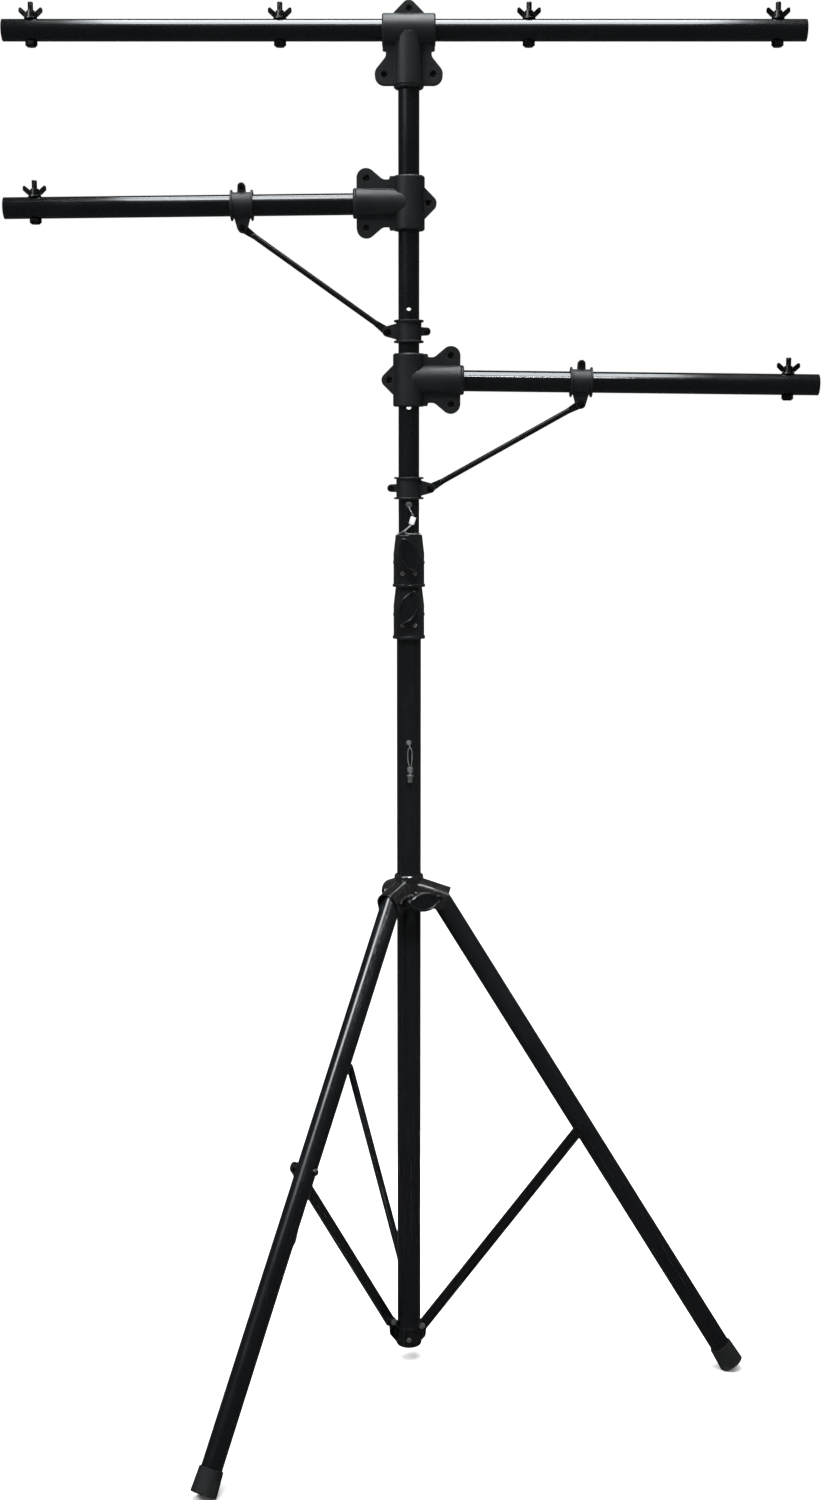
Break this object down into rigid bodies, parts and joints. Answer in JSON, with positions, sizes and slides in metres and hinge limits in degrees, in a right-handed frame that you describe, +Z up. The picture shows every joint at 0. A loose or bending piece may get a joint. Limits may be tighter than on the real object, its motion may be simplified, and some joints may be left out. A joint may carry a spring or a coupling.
{
  "type": "lighting stand",
  "caption": "Telescoping tripod lighting stand with a T bar, two strutted side bars, clamp collars, wing nuts on hanging bolts and a tethered locking pin.",
  "frame": {"origin": "on the floor, under the mast axis", "axes": "+Z up the mast, +X along the T bar to the right seen from the front, -Y to the front, where the clamp knobs of the mast point"},
  "size_m": [1.2427, 0.9501, 2.1505],
  "materials": {
    "black_tube": "black satin powder coat",
    "gloss_black": "gloss black enamel",
    "black_moulding": "fine-grained matt moulding",
    "knob_black": "satin moulding",
    "dark_zinc": "blackened zinc",
    "bright_steel": "bright, lightly brushed",
    "wire_steel": "twisted wire",
    "ferrule_aluminium": "crimped, bright",
    "foot_rubber": "matt rubber"
  },
  "bodies": {
    "lower_mast": {"lower_tube": "black_tube", "base_bracket": "black_tube", "base_bolts": "dark_zinc", "lower_collar": "black_moulding", "lower_collar_screws": "bright_steel", "lanyard_eye": "bright_steel"},
    "spare_pin": {"spare_lanyard": "wire_steel", "spare_ferrule": "ferrule_aluminium", "spare_pin": "bright_steel"},
    "hub": {"leg_hub": "gloss_black", "hub_pivot_bolts": "dark_zinc"},
    "hub_knob": {"hub_knob": "knob_black"},
    "lower_knob": {"lower_knob": "knob_black"},
    "middle_mast": {"middle_tube": "black_tube", "middle_tube_plug": "black_moulding", "upper_collar": "black_moulding", "upper_collar_screws": "bright_steel"},
    "upper_knob": {"upper_knob": "knob_black"},
    "upper_mast": {"upper_tube": "black_tube", "upper_tube_plug": "black_moulding", "top_fitting_front": "black_moulding", "top_fitting_back": "black_moulding", "top_fitting_screws": "dark_zinc", "t_bar": "black_tube", "t_bar_bolts": "dark_zinc", "upper_lanyard": "wire_steel", "upper_ferrule": "ferrule_aluminium"},
    "upper_pin": {"upper_pin": "bright_steel"},
    "leg_a": {"leg_a": "black_tube", "foot_a": "foot_rubber", "leg_bolt_a": "dark_zinc"},
    "brace_a": {"brace_a": "black_tube"},
    "leg_b": {"leg_b": "black_tube", "foot_b": "foot_rubber", "leg_bolt_b": "dark_zinc"},
    "brace_b": {"brace_b": "black_tube"},
    "leg_c": {"leg_c": "black_tube", "foot_c": "foot_rubber", "leg_bolt_c": "dark_zinc"},
    "brace_c": {"brace_c": "black_tube"},
    "left_arm": {"left_fitting_front": "black_moulding", "left_fitting_back": "black_moulding", "left_bar": "black_tube", "left_bar_bolt": "dark_zinc", "left_strut": "black_tube", "left_clamp_rings": "black_moulding", "left_arm_screws": "dark_zinc"},
    "right_arm": {"right_fitting_front": "black_moulding", "right_fitting_back": "black_moulding", "right_bar": "black_tube", "right_bar_bolt": "dark_zinc", "right_strut": "black_tube", "right_clamp_rings": "black_moulding", "right_arm_screws": "dark_zinc"},
    "wing_nut_1": {"wing_nut_1": "dark_zinc"},
    "wing_nut_2": {"wing_nut_2": "dark_zinc"},
    "wing_nut_3": {"wing_nut_3": "dark_zinc"},
    "wing_nut_4": {"wing_nut_4": "dark_zinc"},
    "left_wing_nut": {"left_wing_nut": "dark_zinc"},
    "right_wing_nut": {"right_wing_nut": "dark_zinc"}
  },
  "joints": [
    {"name": "hub_slide", "type": "slide", "parent": "lower_mast", "child": "hub", "axis": [0, 0, 1], "range_m": [0, 0.149]},
    {"name": "leg_a_fold", "type": "hinge", "parent": "hub", "child": "leg_a", "pos_m": [-0.02677, -0.0402, 0.7841], "axis": [0.8323, -0.5543, 0], "range_deg": [0, 31.9]},
    {"name": "brace_a_fold", "type": "hinge", "parent": "lower_mast", "child": "brace_a", "pos_m": [-0.01253, -0.01881, 0.0688], "axis": [-0.8323, 0.5543, 0], "range_deg": [0, 33.2]},
    {"name": "leg_b_fold", "type": "hinge", "parent": "hub", "child": "leg_b", "pos_m": [0.0482, -0.00308, 0.7841], "axis": [0.0638, 0.998, 0], "range_deg": [0, 31.9]},
    {"name": "brace_b_fold", "type": "hinge", "parent": "lower_mast", "child": "brace_b", "pos_m": [0.02255, -0.00144, 0.0688], "axis": [-0.0638, -0.998, 0], "range_deg": [0, 33.2]},
    {"name": "leg_c_fold", "type": "hinge", "parent": "hub", "child": "leg_c", "pos_m": [-0.02143, 0.04328, 0.7841], "axis": [-0.8962, -0.4437, 0], "range_deg": [0, 31.9]},
    {"name": "brace_c_fold", "type": "hinge", "parent": "lower_mast", "child": "brace_c", "pos_m": [-0.01003, 0.02025, 0.0688], "axis": [0.8962, 0.4437, 0], "range_deg": [0, 33.2]},
    {"name": "hub_knob_turn", "type": "hinge", "parent": "hub", "child": "hub_knob", "pos_m": [0.02218, -0.04481, 0.785], "axis": [0.4437, -0.8962, 0], "range_deg": [-360, 0]},
    {"name": "lower_knob_turn", "type": "hinge", "parent": "lower_mast", "child": "lower_knob", "pos_m": [0, -0.03, 1.2468], "axis": [0, -1, 0], "range_deg": [-360, 0]},
    {"name": "middle_slide", "type": "slide", "parent": "lower_mast", "child": "middle_mast", "axis": [0, 0, 1], "range_m": [0, 0.85]},
    {"name": "upper_knob_turn", "type": "hinge", "parent": "middle_mast", "child": "upper_knob", "pos_m": [0, -0.03, 1.3275], "axis": [0, -1, 0], "range_deg": [-360, 0]},
    {"name": "upper_slide", "type": "slide", "parent": "middle_mast", "child": "upper_mast", "axis": [0, 0, 1], "range_m": [0, 0.24]},
    {"name": "left_arm_swivel", "type": "hinge", "parent": "upper_mast", "child": "left_arm", "pos_m": [0, 0, 1.857], "axis": [0, 0, 1], "range_deg": [-90, 90]},
    {"name": "right_arm_swivel", "type": "hinge", "parent": "upper_mast", "child": "right_arm", "pos_m": [0, 0, 1.5939], "axis": [0, 0, 1], "range_deg": [-90, 90]},
    {"name": "upper_pin_pull", "type": "slide", "parent": "upper_mast", "child": "upper_pin", "axis": [0, -1, 0], "range_m": [0, 0.02], "deforming": ["upper_lanyard"]},
    {"name": "spare_pin_swing", "type": "hinge", "parent": "lower_mast", "child": "spare_pin", "pos_m": [0.0015, -0.0234, 1.027], "axis": [-1, 0, 0], "range_deg": [0, 70]},
    {"name": "wing_nut_1_turn", "type": "hinge", "parent": "upper_mast", "child": "wing_nut_1", "pos_m": [-0.56525, 0, 2.129], "axis": [0, 0, 1], "continuous": true},
    {"name": "wing_nut_2_turn", "type": "hinge", "parent": "upper_mast", "child": "wing_nut_2", "pos_m": [-0.19275, 0, 2.129], "axis": [0, 0, 1], "continuous": true},
    {"name": "wing_nut_3_turn", "type": "hinge", "parent": "upper_mast", "child": "wing_nut_3", "pos_m": [0.17975, 0, 2.129], "axis": [0, 0, 1], "continuous": true},
    {"name": "wing_nut_4_turn", "type": "hinge", "parent": "upper_mast", "child": "wing_nut_4", "pos_m": [0.55225, 0, 2.129], "axis": [0, 0, 1], "continuous": true},
    {"name": "left_wing_nut_turn", "type": "hinge", "parent": "left_arm", "child": "left_wing_nut", "pos_m": [-0.56636, 0, 1.85057], "axis": [-0.0113, 0, 0.9999], "continuous": true},
    {"name": "right_wing_nut_turn", "type": "hinge", "parent": "right_arm", "child": "right_wing_nut", "pos_m": [0.58206, 0, 1.5873], "axis": [0.0113, 0, 0.9999], "continuous": true}
  ],
  "couplings": [
    {"joint": "leg_a_fold", "follows": "hub_slide", "rad_per_m": 3.7249},
    {"joint": "brace_a_fold", "follows": "hub_slide", "rad_per_m": 3.8714},
    {"joint": "leg_b_fold", "follows": "hub_slide", "rad_per_m": 3.7249},
    {"joint": "brace_b_fold", "follows": "hub_slide", "rad_per_m": 3.8714},
    {"joint": "leg_c_fold", "follows": "hub_slide", "rad_per_m": 3.7249},
    {"joint": "brace_c_fold", "follows": "hub_slide", "rad_per_m": 3.8714}
  ]
}
